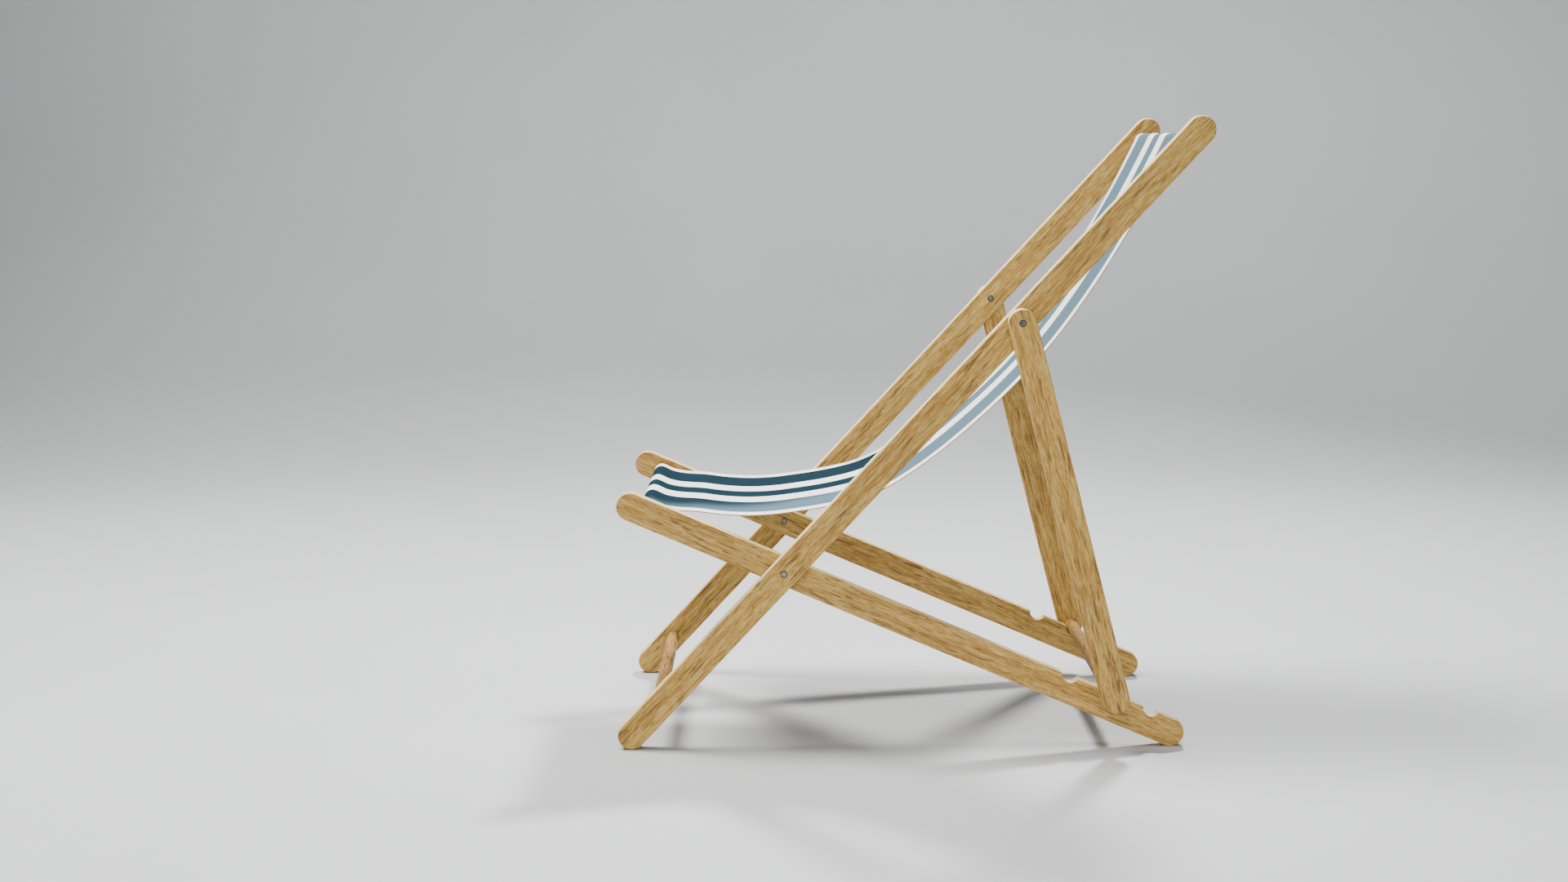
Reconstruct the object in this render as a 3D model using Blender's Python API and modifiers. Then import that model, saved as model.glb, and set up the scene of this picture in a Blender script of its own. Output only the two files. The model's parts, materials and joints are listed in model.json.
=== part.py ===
"""Folding deck chair: three pivoted wooden frames and a striped canvas sling.

Metres, +Z up. The sitter faces -Y, and left is +X. The origin is on the floor, at the
middle of the chair's width and length. The frames carry these local axes: X across the
chair, Y along the rail towards its upper or rear end, Z square to the rail.
"""

import math

import bmesh
import bpy
from mathutils import Matrix

# Rails, all of one section
RAIL_WIDTH = 0.045
RAIL_THICKNESS = 0.022
RAIL_ROUNDING = 0.0025
HALF = RAIL_WIDTH / 2
LAYER_GAP = 0.0015
SEAT_RAIL_X = 0.233
BACK_RAIL_X = SEAT_RAIL_X + RAIL_THICKNESS + LAYER_GAP
STRUT_X = BACK_RAIL_X + RAIL_THICKNESS + LAYER_GAP

# Rail lengths, from the main pivot to the middle of each round end
BACK_ANGLE = math.radians(47.25)
SEAT_ANGLE = math.radians(23.0)
BACK_FOOT = 0.364
BACK_TOP = 0.961
SEAT_FRONT = 0.269
PIVOT_HEIGHT = BACK_FOOT * math.sin(BACK_ANGLE) + HALF
SEAT_REAR = (PIVOT_HEIGHT - HALF) / math.sin(SEAT_ANGLE)
STRUT_PIVOT = 0.552

# Cross bars, as distances from the main pivot
BAR_RADIUS = 0.011
FOOT_BAR = 0.302
TOP_BAR = 0.938
FRONT_BAR = 0.241
SOCKET_DEPTH = 0.014

# The three notches in the top edge of each seat rail
NOTCH_RADIUS = 0.014
NOTCH_DEPTH = 0.011
NOTCH_MIDDLE = 0.568
NOTCH_PITCH = 0.072

# Pivot pins, each flush at both ends
PIN_RADIUS = 0.004
HEAD_RADIUS = 0.0056
HEAD_THICKNESS = 0.0018
RECESS_RADIUS = 0.0062
RECESS_DEPTH = 0.0023
DIMPLE_RADIUS = 0.0014
DIMPLE_DEPTH = 0.0005
SPACER_RADIUS = 0.010
SPACER_THICKNESS = 0.001

# Sling
SLING_WIDTH = 0.42
CANVAS = 0.002
SLING_SAG = 0.4585
SLING_SPLIT = 0.15
SPLIT_GAP = 0.002
LOOP_RADIUS = 0.0125

CLEARANCE = 0.0003

FRONT_END = max(BACK_FOOT * math.cos(BACK_ANGLE), SEAT_FRONT * math.cos(SEAT_ANGLE))
REAR_END = max(BACK_TOP * math.cos(BACK_ANGLE), SEAT_REAR * math.cos(SEAT_ANGLE))
CENTRE_Y = (REAR_END - FRONT_END) / 2
PIVOT = (-CENTRE_Y, PIVOT_HEIGHT)


def clear_scene():
    for obj in list(bpy.data.objects):
        bpy.data.objects.remove(obj)


def new_collection(name):
    collection = bpy.data.collections.new(name)
    bpy.context.scene.collection.children.link(collection)
    return collection


def new_material(name, colour, roughness, metallic=0.0):
    material = bpy.data.materials.new(name)
    material.use_nodes = True
    shader = material.node_tree.nodes["Principled BSDF"]
    shader.inputs["Base Color"].default_value = (*colour, 1.0)
    shader.inputs["Roughness"].default_value = roughness
    shader.inputs["Metallic"].default_value = metallic
    return material


def new_frame(name, location, angle, parent=None):
    """An empty on a joint axis, turned so that its Y runs along the rails it carries."""
    frame = bpy.data.objects.new(name, None)
    frame.empty_display_size = 0.05
    frame.location = location
    frame.rotation_euler = (angle, 0.0, 0.0)
    frame.parent = parent
    chair.objects.link(frame)
    return frame


def place(name, mesh, frame, material, location, rotation):
    obj = bpy.data.objects.new(name, mesh)
    obj.location = location
    obj.rotation_euler = rotation
    obj.parent = frame
    mesh.materials.clear()
    mesh.materials.append(material)
    chair.objects.link(obj)
    return obj


def shade(mesh):
    mesh.shade_smooth()
    mesh.set_sharp_from_angle(angle=math.radians(30))


def arc(centre, radius, start, end, steps):
    """Points along an arc, angles in degrees, both ends included."""
    points = []
    for i in range(steps + 1):
        angle = math.radians(start + (end - start) * i / steps)
        points.append((centre[0] + radius * math.cos(angle), centre[1] + radius * math.sin(angle)))
    return points


def flat_mesh(name, outlines, thickness):
    """A flat outline, with any holes, given its thickness: a filled curve turned to a mesh."""
    curve = bpy.data.curves.new(name, "CURVE")
    curve.dimensions = "2D"
    curve.fill_mode = "BOTH"
    curve.extrude = thickness / 2
    for outline in outlines:
        spline = curve.splines.new("POLY")
        spline.points.add(len(outline) - 1)
        for point, (x, y) in zip(spline.points, outline):
            point.co = (x, y, 0.0, 1.0)
        spline.use_cyclic_u = True
    guide = bpy.data.objects.new(name + "_outline", curve)
    bpy.context.scene.collection.objects.link(guide)
    graph = bpy.context.evaluated_depsgraph_get()
    mesh = bpy.data.meshes.new_from_object(guide.evaluated_get(graph))
    bpy.data.objects.remove(guide)
    mesh.name = name
    loose = bmesh.new()
    loose.from_mesh(mesh)
    bmesh.ops.remove_doubles(loose, verts=loose.verts, dist=1e-5)
    bmesh.ops.recalc_face_normals(loose, faces=loose.faces)
    loose.to_mesh(mesh)
    loose.free()
    return mesh


def cylinder_mesh(name, radius, length, sides=32, spin=0.0):
    shape = bmesh.new()
    bmesh.ops.create_cone(
        shape,
        cap_ends=True,
        segments=sides,
        radius1=radius,
        radius2=radius,
        depth=length,
        matrix=Matrix.Rotation(spin, 4, "Z"),
    )
    mesh = bpy.data.meshes.new(name)
    shape.to_mesh(mesh)
    shape.free()
    return mesh


def round_edges(obj, width, segments=2):
    bevel = obj.modifiers.new("rounded edges", "BEVEL")
    bevel.width = width
    bevel.segments = segments
    bevel.limit_method = "ANGLE"
    bevel.angle_limit = math.radians(40)


def bore(obj, radius, x_from, x_to, along, across=0.0):
    """Cuts a round hole across the chair, between two X, at a place in the rail's frame."""
    name = f"{obj.name}_bore_{len(obj.modifiers)}"
    mesh = cylinder_mesh(name, radius, abs(x_to - x_from), spin=BORE_SPIN)
    cutter = bpy.data.objects.new(name, mesh)
    cutter.location = ((x_from + x_to) / 2, along, across)
    cutter.rotation_euler = ACROSS
    cutter.parent = obj.parent
    cutter.hide_render = True
    cutter.display_type = "WIRE"
    cutters.objects.link(cutter)
    cut = obj.modifiers.new("bore", "BOOLEAN")
    cut.operation = "DIFFERENCE"
    cut.object = cutter


def pin_hole(obj, x, along):
    bore(obj, PIN_RADIUS + CLEARANCE, x - RAIL_THICKNESS, x + RAIL_THICKNESS, along)


def pin_recess(obj, x, side, along):
    """The counterbore that lets a pin's end lie flush; side is +1 for the face at greater X."""
    face = x + side * RAIL_THICKNESS / 2
    bore(obj, RECESS_RADIUS, face - side * RECESS_DEPTH, face + side * 0.002, along)


def bar_socket(obj, x, side, along, across=0.0):
    """The blind hole a cross bar is glued into; side is +1 for the face at greater X."""
    face = x + side * RAIL_THICKNESS / 2
    depth = SOCKET_DEPTH
    bore(obj, BAR_RADIUS + CLEARANCE, face - side * depth, face + side * 0.002, along, across)


def rail(name, frame, x, start, end, notches=()):
    """A round-ended rail from start to end, the middles of its ends, along its frame's Y."""
    outline = arc((end, 0.0), HALF, -90, 90, 16)
    for middle in sorted(notches, reverse=True):
        centre = (middle, HALF + NOTCH_RADIUS - NOTCH_DEPTH)
        lip = math.degrees(math.asin((NOTCH_RADIUS - NOTCH_DEPTH) / NOTCH_RADIUS))
        outline += arc(centre, NOTCH_RADIUS, -lip, lip - 180, 10)
    outline += arc((start, 0.0), HALF, 90, 270, 16)
    mesh = flat_mesh(name, [outline], RAIL_THICKNESS)
    obj = place(name, mesh, frame, wood, (x, 0.0, 0.0), SIDE_ON)
    shade(mesh)
    round_edges(obj, RAIL_ROUNDING)
    return obj


def cross_bar(name, frame, length, along, across=0.0):
    mesh = cylinder_mesh(name, BAR_RADIUS, length, 36)
    obj = place(name, mesh, frame, bar_wood, (0.0, along, across), ACROSS)
    shade(mesh)
    round_edges(obj, 0.001)
    return obj


def turned(name, profile, frame, x, side, along, closed=False):
    """A profile of (radius, height) turned about its height, which points outwards."""
    mesh = bpy.data.meshes.new(name)
    edges = [(i, i + 1) for i in range(len(profile) - 1)]
    if closed:
        edges.append((len(profile) - 1, 0))
    mesh.from_pydata([(radius, 0.0, height) for radius, height in profile], edges, [])
    obj = place(name, mesh, frame, steel, (x, along, 0.0), (0.0, side * math.pi / 2, 0.0))
    screw = obj.modifiers.new("turned", "SCREW")
    screw.steps = 32
    screw.render_steps = 32
    screw.use_merge_vertices = True
    screw.merge_threshold = 1e-5
    screw.use_smooth_shade = True
    return obj


def pivot_pin(name, frame, side, inner_x, outer_x, along):
    """A headed pin through two rails, from the inner rail's inner face to the outer face."""
    length = outer_x - inner_x + RAIL_THICKNESS - 2 * CLEARANCE
    profile = [
        (0.0, -DIMPLE_DEPTH),
        (DIMPLE_RADIUS, -DIMPLE_DEPTH),
        (DIMPLE_RADIUS + DIMPLE_DEPTH, 0.0),
        (HEAD_RADIUS - DIMPLE_DEPTH, 0.0),
        (HEAD_RADIUS, -DIMPLE_DEPTH),
        (HEAD_RADIUS, -HEAD_THICKNESS),
        (PIN_RADIUS, -HEAD_THICKNESS),
        (PIN_RADIUS, DIMPLE_DEPTH - length),
        (PIN_RADIUS - DIMPLE_DEPTH, -length),
        (0.0, -length),
    ]
    outer_face = outer_x + RAIL_THICKNESS / 2 - CLEARANCE
    turned(name, profile, frame, side * outer_face, side, along)


def ring(name, frame, side, x, inner, outer, thickness, along):
    """A flat ring whose middle is at X."""
    half = thickness / 2
    profile = [(outer, half), (outer, -half), (inner, -half), (inner, half)]
    turned(name, profile, frame, side * x, side, along, closed=True)


def hung_curve(front, top):
    """The catenary of SLING_SAG that touches both loops from above: its lowest point, and its ends.

    The ends depend on the slope and the slope on the ends, so they are found by repetition.
    """
    ends = [front, top]
    for _ in range(20):
        (y1, z1), (y2, z2) = ends
        rise = (z2 - z1) / (2 * SLING_SAG * math.sinh((y2 - y1) / (2 * SLING_SAG)))
        low_y = (y1 + y2) / 2 - SLING_SAG * math.asinh(rise)
        low_z = z1 - SLING_SAG * (math.cosh((y1 - low_y) / SLING_SAG) - 1)
        for i, (y, z) in enumerate((front, top)):
            slope = math.atan(math.sinh((ends[i][0] - low_y) / SLING_SAG))
            ends[i] = (y - LOOP_RADIUS * math.sin(slope), z + LOOP_RADIUS * math.cos(slope))
    return low_y, low_z, ends


def hung_points(low_y, low_z, start, end, steps):
    """Points on the catenary with the unit normal of its upper face, as (y, z, ny, nz)."""
    points = []
    for i in range(steps + 1):
        y = start + (end - start) * i / steps
        bend = (y - low_y) / SLING_SAG
        slope = math.atan(math.sinh(bend))
        z = low_z + SLING_SAG * (math.cosh(bend) - 1)
        points.append((y, z, -math.sin(slope), math.cos(slope)))
    return points


def sling_panel(name, points, bar, turn, material):
    """A panel of canvas whose last point lies on the loop it makes around its bar.

    turn is +1 where the loop runs on anticlockwise from the panel's end, seen with +Y right.
    """
    half = CANVAS / 2
    outer = LOOP_RADIUS + half
    upper = [(y + ny * half, z + nz * half) for y, z, ny, nz in points]
    lower = [(y - ny * half, z - nz * half) for y, z, ny, nz in points]
    lower = [p for p in lower if math.dist(p, bar) > outer + CLEARANCE]
    first = math.degrees(math.atan2(upper[-1][1] - bar[1], upper[-1][0] - bar[0]))
    last = math.degrees(math.atan2(lower[-1][1] - bar[1], lower[-1][0] - bar[0]))
    sweep = (last - first) * turn % 360 - 4
    around = arc(bar, outer, first, first + turn * sweep, 30)
    hole = arc(bar, BAR_RADIUS + CLEARANCE, 0, 345, 23)
    mesh = flat_mesh(name, [upper[:-1] + around + lower[::-1], hole], SLING_WIDTH)
    obj = place(name, mesh, None, material, (0.0, 0.0, 0.0), SIDE_ON)
    shade(mesh)
    return obj


def in_world(angle, along, across=0.0):
    """The (Y, Z) of a place given along and across a rail that leaves the main pivot at angle."""
    y = PIVOT[0] + along * math.cos(angle) - across * math.sin(angle)
    z = PIVOT[1] + along * math.sin(angle) + across * math.cos(angle)
    return y, z


def hold(obj, frame):
    """Parents an object that stands in world coordinates, without moving it."""
    bpy.context.view_layer.update()
    obj.parent = frame
    obj.matrix_parent_inverse = frame.matrix_world.inverted()


def build_seat_frame():
    notches = [NOTCH_MIDDLE + step * NOTCH_PITCH for step in (-1, 0, 1)]
    for side, word in ((1, "left"), (-1, "right")):
        x = side * SEAT_RAIL_X
        obj = rail("seat_rail_" + word, seat_frame, x, -SEAT_FRONT, SEAT_REAR, notches)
        pin_hole(obj, x, 0.0)
        pin_recess(obj, x, -side, 0.0)
        bar_socket(obj, x, -side, -FRONT_BAR)
    inside = SEAT_RAIL_X - RAIL_THICKNESS / 2 + SOCKET_DEPTH - CLEARANCE
    cross_bar("front_bar", seat_frame, 2 * inside, -FRONT_BAR)


def build_back_frame():
    for side, word in ((1, "left"), (-1, "right")):
        x = side * BACK_RAIL_X
        obj = rail("back_rail_" + word, back_frame, x, -BACK_FOOT, BACK_TOP)
        pin_hole(obj, x, 0.0)
        pin_recess(obj, x, side, 0.0)
        pin_hole(obj, x, STRUT_PIVOT)
        pin_recess(obj, x, -side, STRUT_PIVOT)
        bar_socket(obj, x, -side, TOP_BAR)
        bar_socket(obj, x, -side, -FOOT_BAR)
    inside = BACK_RAIL_X - RAIL_THICKNESS / 2 + SOCKET_DEPTH - CLEARANCE
    cross_bar("top_bar", back_frame, 2 * inside, TOP_BAR)
    cross_bar("foot_bar", back_frame, 2 * inside, -FOOT_BAR)


def build_prop_frame():
    for side, word in ((1, "left"), (-1, "right")):
        x = side * STRUT_X
        obj = rail("strut_" + word, prop_frame, x, 0.0, STRUT_LENGTH)
        pin_hole(obj, x, 0.0)
        pin_recess(obj, x, side, 0.0)
        bar_socket(obj, x, -side, STRUT_LENGTH)
    inside = STRUT_X - RAIL_THICKNESS / 2 + SOCKET_DEPTH - CLEARANCE
    cross_bar("prop_bar", prop_frame, 2 * inside, STRUT_LENGTH)


def build_pivots():
    spacer_hole = PIN_RADIUS + CLEARANCE
    burr_thickness = RECESS_DEPTH - 2 * CLEARANCE
    for side, word in ((1, "left"), (-1, "right")):
        for kind, frame, inner_x, outer_x, along in (
            ("main", seat_frame, SEAT_RAIL_X, BACK_RAIL_X, 0.0),
            ("strut", back_frame, BACK_RAIL_X, STRUT_X, STRUT_PIVOT),
        ):
            pivot_pin(f"{kind}_pin_{word}", frame, side, inner_x, outer_x, along)
            middle = (inner_x + outer_x) / 2
            name = f"{kind}_spacer_{word}"
            ring(name, frame, side, middle, spacer_hole, SPACER_RADIUS, SPACER_THICKNESS, along)
            burr_x = inner_x - RAIL_THICKNESS / 2 + RECESS_DEPTH / 2
            name = f"{kind}_burr_{word}"
            ring(name, frame, side, burr_x, spacer_hole, HEAD_RADIUS, burr_thickness, along)


def build_sling():
    front = in_world(-SEAT_ANGLE, -FRONT_BAR)
    top = in_world(BACK_ANGLE, TOP_BAR)
    low_y, low_z, (start, end) = hung_curve(front, top)
    split = PIVOT[0] + SLING_SPLIT
    seat_points = hung_points(low_y, low_z, split - SPLIT_GAP / 2, start[0], 14)
    back_points = hung_points(low_y, low_z, split + SPLIT_GAP / 2, end[0], 18)
    hold(sling_panel("sling_seat", seat_points, front, 1, seat_canvas), seat_frame)
    hold(sling_panel("sling_back", back_points, top, -1, back_canvas), back_frame)


clear_scene()
chair = new_collection("folding_deck_chair")
cutters = new_collection("cutters")
BORE_SPIN = math.radians(4)  # keeps the corners of a bore off the rail's middle line
SIDE_ON = (math.pi / 2, 0.0, math.pi / 2)
ACROSS = (0.0, math.pi / 2, 0.0)

wood = new_material("rail wood", (0.42, 0.26, 0.11), 0.5)
bar_wood = new_material("bar wood", (0.52, 0.35, 0.19), 0.5)
steel = new_material("pin steel", (0.45, 0.45, 0.46), 0.35, 1.0)
seat_canvas = new_material("seat canvas", (0.10, 0.25, 0.36), 0.9)
back_canvas = new_material("back canvas", (0.35, 0.50, 0.60), 0.9)

# The prop bar lies against the rear of the middle notch, in line with the strut.
notch = in_world(-SEAT_ANGLE, NOTCH_MIDDLE, HALF + NOTCH_RADIUS - NOTCH_DEPTH)
strut_pivot = in_world(BACK_ANGLE, STRUT_PIVOT)
STRUT_ANGLE = math.atan2(notch[1] - strut_pivot[1], notch[0] - strut_pivot[0])
STRUT_LENGTH = math.dist(notch, strut_pivot) + NOTCH_RADIUS - BAR_RADIUS - CLEARANCE

seat_frame = new_frame("seat_frame", (0.0, *PIVOT), -SEAT_ANGLE)
back_frame = new_frame("back_frame", (0.0, *PIVOT), BACK_ANGLE)
prop_place = (0.0, STRUT_PIVOT, 0.0)
prop_frame = new_frame("prop_frame", prop_place, STRUT_ANGLE - BACK_ANGLE, back_frame)

build_seat_frame()
build_back_frame()
build_prop_frame()
build_pivots()
build_sling()
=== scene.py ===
"""The finished look of a folding deck chair: oiled wooden frames, steel pins and a canvas sling."""
import json
import math

import bmesh
import bpy
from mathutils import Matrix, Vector


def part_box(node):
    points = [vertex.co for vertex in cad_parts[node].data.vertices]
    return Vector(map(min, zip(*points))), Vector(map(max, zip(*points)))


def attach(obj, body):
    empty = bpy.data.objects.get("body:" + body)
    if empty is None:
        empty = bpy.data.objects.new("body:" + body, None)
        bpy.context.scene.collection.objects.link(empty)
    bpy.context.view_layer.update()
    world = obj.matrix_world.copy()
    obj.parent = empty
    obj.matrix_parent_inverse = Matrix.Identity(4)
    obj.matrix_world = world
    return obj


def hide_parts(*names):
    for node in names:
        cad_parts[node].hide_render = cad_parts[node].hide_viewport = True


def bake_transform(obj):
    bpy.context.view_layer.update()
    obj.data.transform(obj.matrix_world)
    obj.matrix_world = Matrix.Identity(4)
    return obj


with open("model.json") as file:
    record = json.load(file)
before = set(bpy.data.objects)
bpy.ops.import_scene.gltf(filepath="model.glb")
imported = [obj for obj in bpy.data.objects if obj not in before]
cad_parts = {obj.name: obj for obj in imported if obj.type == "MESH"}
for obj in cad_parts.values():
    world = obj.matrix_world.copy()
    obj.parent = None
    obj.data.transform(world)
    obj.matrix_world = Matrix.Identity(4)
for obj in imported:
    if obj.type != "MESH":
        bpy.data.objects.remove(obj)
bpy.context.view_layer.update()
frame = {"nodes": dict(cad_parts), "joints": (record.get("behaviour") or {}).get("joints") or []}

# ---------------------------------------------------------------------------------------
# Seat rails. Two planed oak boards with round ends and three notches sawn and sanded in
# the top edge, which the prop bar drops into. The long edges are eased with a router.
RAIL_HALF = 0.0225
EDGE_ROUNDING = 0.0026
NOTCH_RADIUS = 0.014
NOTCH_SINK = 0.011
NOTCH_MIDDLE = 0.568
NOTCH_PITCH = 0.072
RECESS_RADIUS = 0.0062
RECESS_DEPTH = 0.0023
OAK_PALE = (0.69, 0.460, 0.128, 1)
OAK_TAN = (0.57, 0.350, 0.070, 1)
OAK_BROWN = (0.41, 0.210, 0.034, 1)
OAK_DARK = (0.13, 0.055, 0.010, 1)
# Painted highlight: faces turned up toward the front light are mixed toward the pale cream below, at a
# strength per board, more on the back rails than on the seat rails.
OAK_PAINTED_HIGHLIGHT = (0.92, 0.78, 0.42, 1)
SEAT_RAIL_TONES = ((0.70, 0.470, 0.135, 1), (0.58, 0.355, 0.080, 1), (0.42, 0.220, 0.038, 1))
PAINTED_LIGHT_FROM = (0.0, -0.45, 0.893)
PAINTED_HIGHLIGHT_STRENGTH = 0.60
SEAT_PAINTED_HIGHLIGHT_STRENGTH = 0.40
GRAIN_RELIEF = 0.0006
OAK_SHEEN = 0.4
LINE_SWAY = 0.012
SMOOTH_BELOW = math.radians(32)

joints = {joint["name"]: joint for joint in frame["joints"]}
MAIN_PIVOT = Vector(joints["back_fold"]["pos_m"])
STRUT_PIVOT = Vector(joints["prop_fold"]["pos_m"])


def start_afresh():
    if bpy.context.mode != "OBJECT":
        bpy.ops.object.mode_set(mode="OBJECT")
    bpy.ops.object.select_all(action="DESELECT")


def new_nodes(name):
    """A new material, its node tree and its Principled shader."""
    material = bpy.data.materials.new(name)
    material.use_nodes = True
    tree = material.node_tree
    return material, tree, tree.nodes["Principled BSDF"]


def add(tree, kind, x, y, **settings):
    node = tree.nodes.new(kind)
    node.location = (x, y)
    for name, value in settings.items():
        setattr(node, name, value)
    return node


def calculate(tree, operation, x, y, first, second, clamp=False):
    """A Math node on two inputs, each a socket or a number; gives its output."""
    node = add(tree, "ShaderNodeMath", x, y, operation=operation, use_clamp=clamp)
    for socket, value in zip(node.inputs, (first, second)):
        if isinstance(value, bpy.types.NodeSocket):
            tree.links.new(value, socket)
        else:
            socket.default_value = value
    return node.outputs[0]


def blend_colours(tree, x, y, factor, first, second, mode="MIX"):
    """A colour Mix node; each input is a socket, a colour or a number."""
    node = add(tree, "ShaderNodeMix", x, y, data_type="RGBA", blend_type=mode)
    for socket, value in zip((node.inputs[0], node.inputs[6], node.inputs[7]), (factor, first, second)):
        if isinstance(value, bpy.types.NodeSocket):
            tree.links.new(value, socket)
        else:
            socket.default_value = value
    return node.outputs[2]


def rescale(tree, x, y, value, low, high, to_low=0.0, to_high=1.0):
    node = add(tree, "ShaderNodeMapRange", x, y, interpolation_type="SMOOTHSTEP")
    tree.links.new(value, node.inputs["Value"])
    for name, number in zip(("From Min", "From Max", "To Min", "To Max"), (low, high, to_low, to_high)):
        node.inputs[name].default_value = number
    return node.outputs["Result"]


def stretched_noise(tree, x, y, vector, across, along, detail, distortion=0.0):
    """Noise drawn out along the board: across and along are its features to the metre."""
    scale = add(tree, "ShaderNodeVectorMath", x - 180, y, operation="MULTIPLY")
    scale.inputs[1].default_value = (across, along, across)
    tree.links.new(vector, scale.inputs[0])
    noise = add(tree, "ShaderNodeTexNoise", x, y)
    noise.inputs["Scale"].default_value = 1.0
    noise.inputs["Detail"].default_value = detail
    noise.inputs["Roughness"].default_value = 0.6
    noise.inputs["Distortion"].default_value = distortion
    tree.links.new(scale.outputs[0], noise.inputs["Vector"])
    return noise.outputs["Fac"]


def oak_grain_group():
    """Long growth lines, fine fibre, flecks and pores along the vector's Y, with a painted highlight on faces
    turned toward the light.
    """
    tree = bpy.data.node_groups.new("oak grain", "ShaderNodeTree")
    for name, kind in (
        ("Vector", "NodeSocketVector"),
        ("Pale", "NodeSocketColor"),
        ("Tan", "NodeSocketColor"),
        ("Brown", "NodeSocketColor"),
        ("Dark", "NodeSocketColor"),
        ("Painted highlight", "NodeSocketFloat"),
    ):
        tree.interface.new_socket(name, in_out="INPUT", socket_type=kind)
    for name, kind in (
        ("Color", "NodeSocketColor"),
        ("Roughness", "NodeSocketFloat"),
        ("Height", "NodeSocketFloat"),
    ):
        tree.interface.new_socket(name, in_out="OUTPUT", socket_type=kind)
    source = add(tree, "NodeGroupInput", -1500, 0)
    result = add(tree, "NodeGroupOutput", 1250, 0)

    # The lines wander a few millimetres across the board.
    drift = add(tree, "ShaderNodeTexNoise", -1300, 200)
    drift.inputs["Scale"].default_value = 5.0
    drift.inputs["Detail"].default_value = 2.0
    tree.links.new(source.outputs["Vector"], drift.inputs["Vector"])
    sway = add(tree, "ShaderNodeVectorMath", -1100, 200, operation="MULTIPLY_ADD")
    sway.inputs[1].default_value = (LINE_SWAY, 0.0, LINE_SWAY)
    tree.links.new(drift.outputs["Color"], sway.inputs[0])
    tree.links.new(source.outputs["Vector"], sway.inputs[2])
    board = sway.outputs[0]

    lines = stretched_noise(tree, -800, 400, board, 90.0, 5.0, 3.0, 0.2)
    fibre = stretched_noise(tree, -800, 150, board, 420.0, 26.0, 4.0)
    hair = stretched_noise(tree, -800, -100, board, 1200.0, 55.0, 3.0)
    flecks = stretched_noise(tree, -800, -350, board, 270.0, 18.0, 2.0, 0.2)
    pores = stretched_noise(tree, -800, -600, board, 1100.0, 70.0, 1.0)
    shade = stretched_noise(tree, -800, -850, board, 26.0, 3.0, 2.0)

    tone = calculate(tree, "MULTIPLY", -500, 400, lines, 0.27)
    tone = calculate(tree, "ADD", -340, 350, tone, calculate(tree, "MULTIPLY", -500, 150, fibre, 0.39))
    tone = calculate(tree, "ADD", -180, 300, tone, calculate(tree, "MULTIPLY", -500, -50, hair, 0.34))
    warm = rescale(tree, 0, 350, tone, 0.44, 0.52)
    pale = rescale(tree, 0, 100, tone, 0.50, 0.59)
    colour = blend_colours(tree, 200, 350, warm, source.outputs["Brown"], source.outputs["Tan"])
    colour = blend_colours(tree, 360, 300, pale, colour, source.outputs["Pale"])
    fleck = rescale(tree, 0, -250, flecks, 0.55, 0.68, 0.0, 0.78)
    colour = blend_colours(tree, 520, 250, fleck, colour, source.outputs["Dark"])
    pore = rescale(tree, 0, -500, pores, 0.55, 0.70, 0.0, 0.60)
    colour = blend_colours(tree, 680, 200, pore, colour, source.outputs["Dark"])
    cloud = rescale(tree, 200, -750, shade, 0.30, 0.70, 0.90, 1.07)
    tint = add(tree, "ShaderNodeCombineColor", 400, -750)
    for socket in tint.inputs:
        tree.links.new(cloud, socket)
    colour = blend_colours(tree, 780, 100, 1.0, colour, tint.outputs[0], "MULTIPLY")
    # Painted highlight: faces turned toward the light are mixed toward a pale cream.
    surface = add(tree, "ShaderNodeTexCoord", 400, 600)
    upward = add(tree, "ShaderNodeVectorMath", 560, 600, operation="DOT_PRODUCT")
    upward.inputs[1].default_value = PAINTED_LIGHT_FROM
    tree.links.new(surface.outputs["Normal"], upward.inputs[0])
    highlight_mask = rescale(tree, 720, 600, upward.outputs["Value"], 0.40, 0.75)
    highlight_mask = calculate(tree, "MULTIPLY", 880, 600, highlight_mask, source.outputs["Painted highlight"])
    tree.links.new(blend_colours(tree, 1040, 300, highlight_mask, colour, OAK_PAINTED_HIGHLIGHT), result.inputs["Color"])

    rough = rescale(tree, 300, -350, fibre, 0.30, 0.70, 0.60, 0.46)
    tree.links.new(calculate(tree, "ADD", 500, -350, rough, pore), result.inputs["Roughness"])
    height = calculate(tree, "SUBTRACT", 300, -550, fibre, calculate(tree, "MULTIPLY", 200, -600, pore, 1.6))
    tree.links.new(calculate(tree, "ADD", 500, -550, height, hair), result.inputs["Height"])
    return tree


oak_grain = oak_grain_group()


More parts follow.
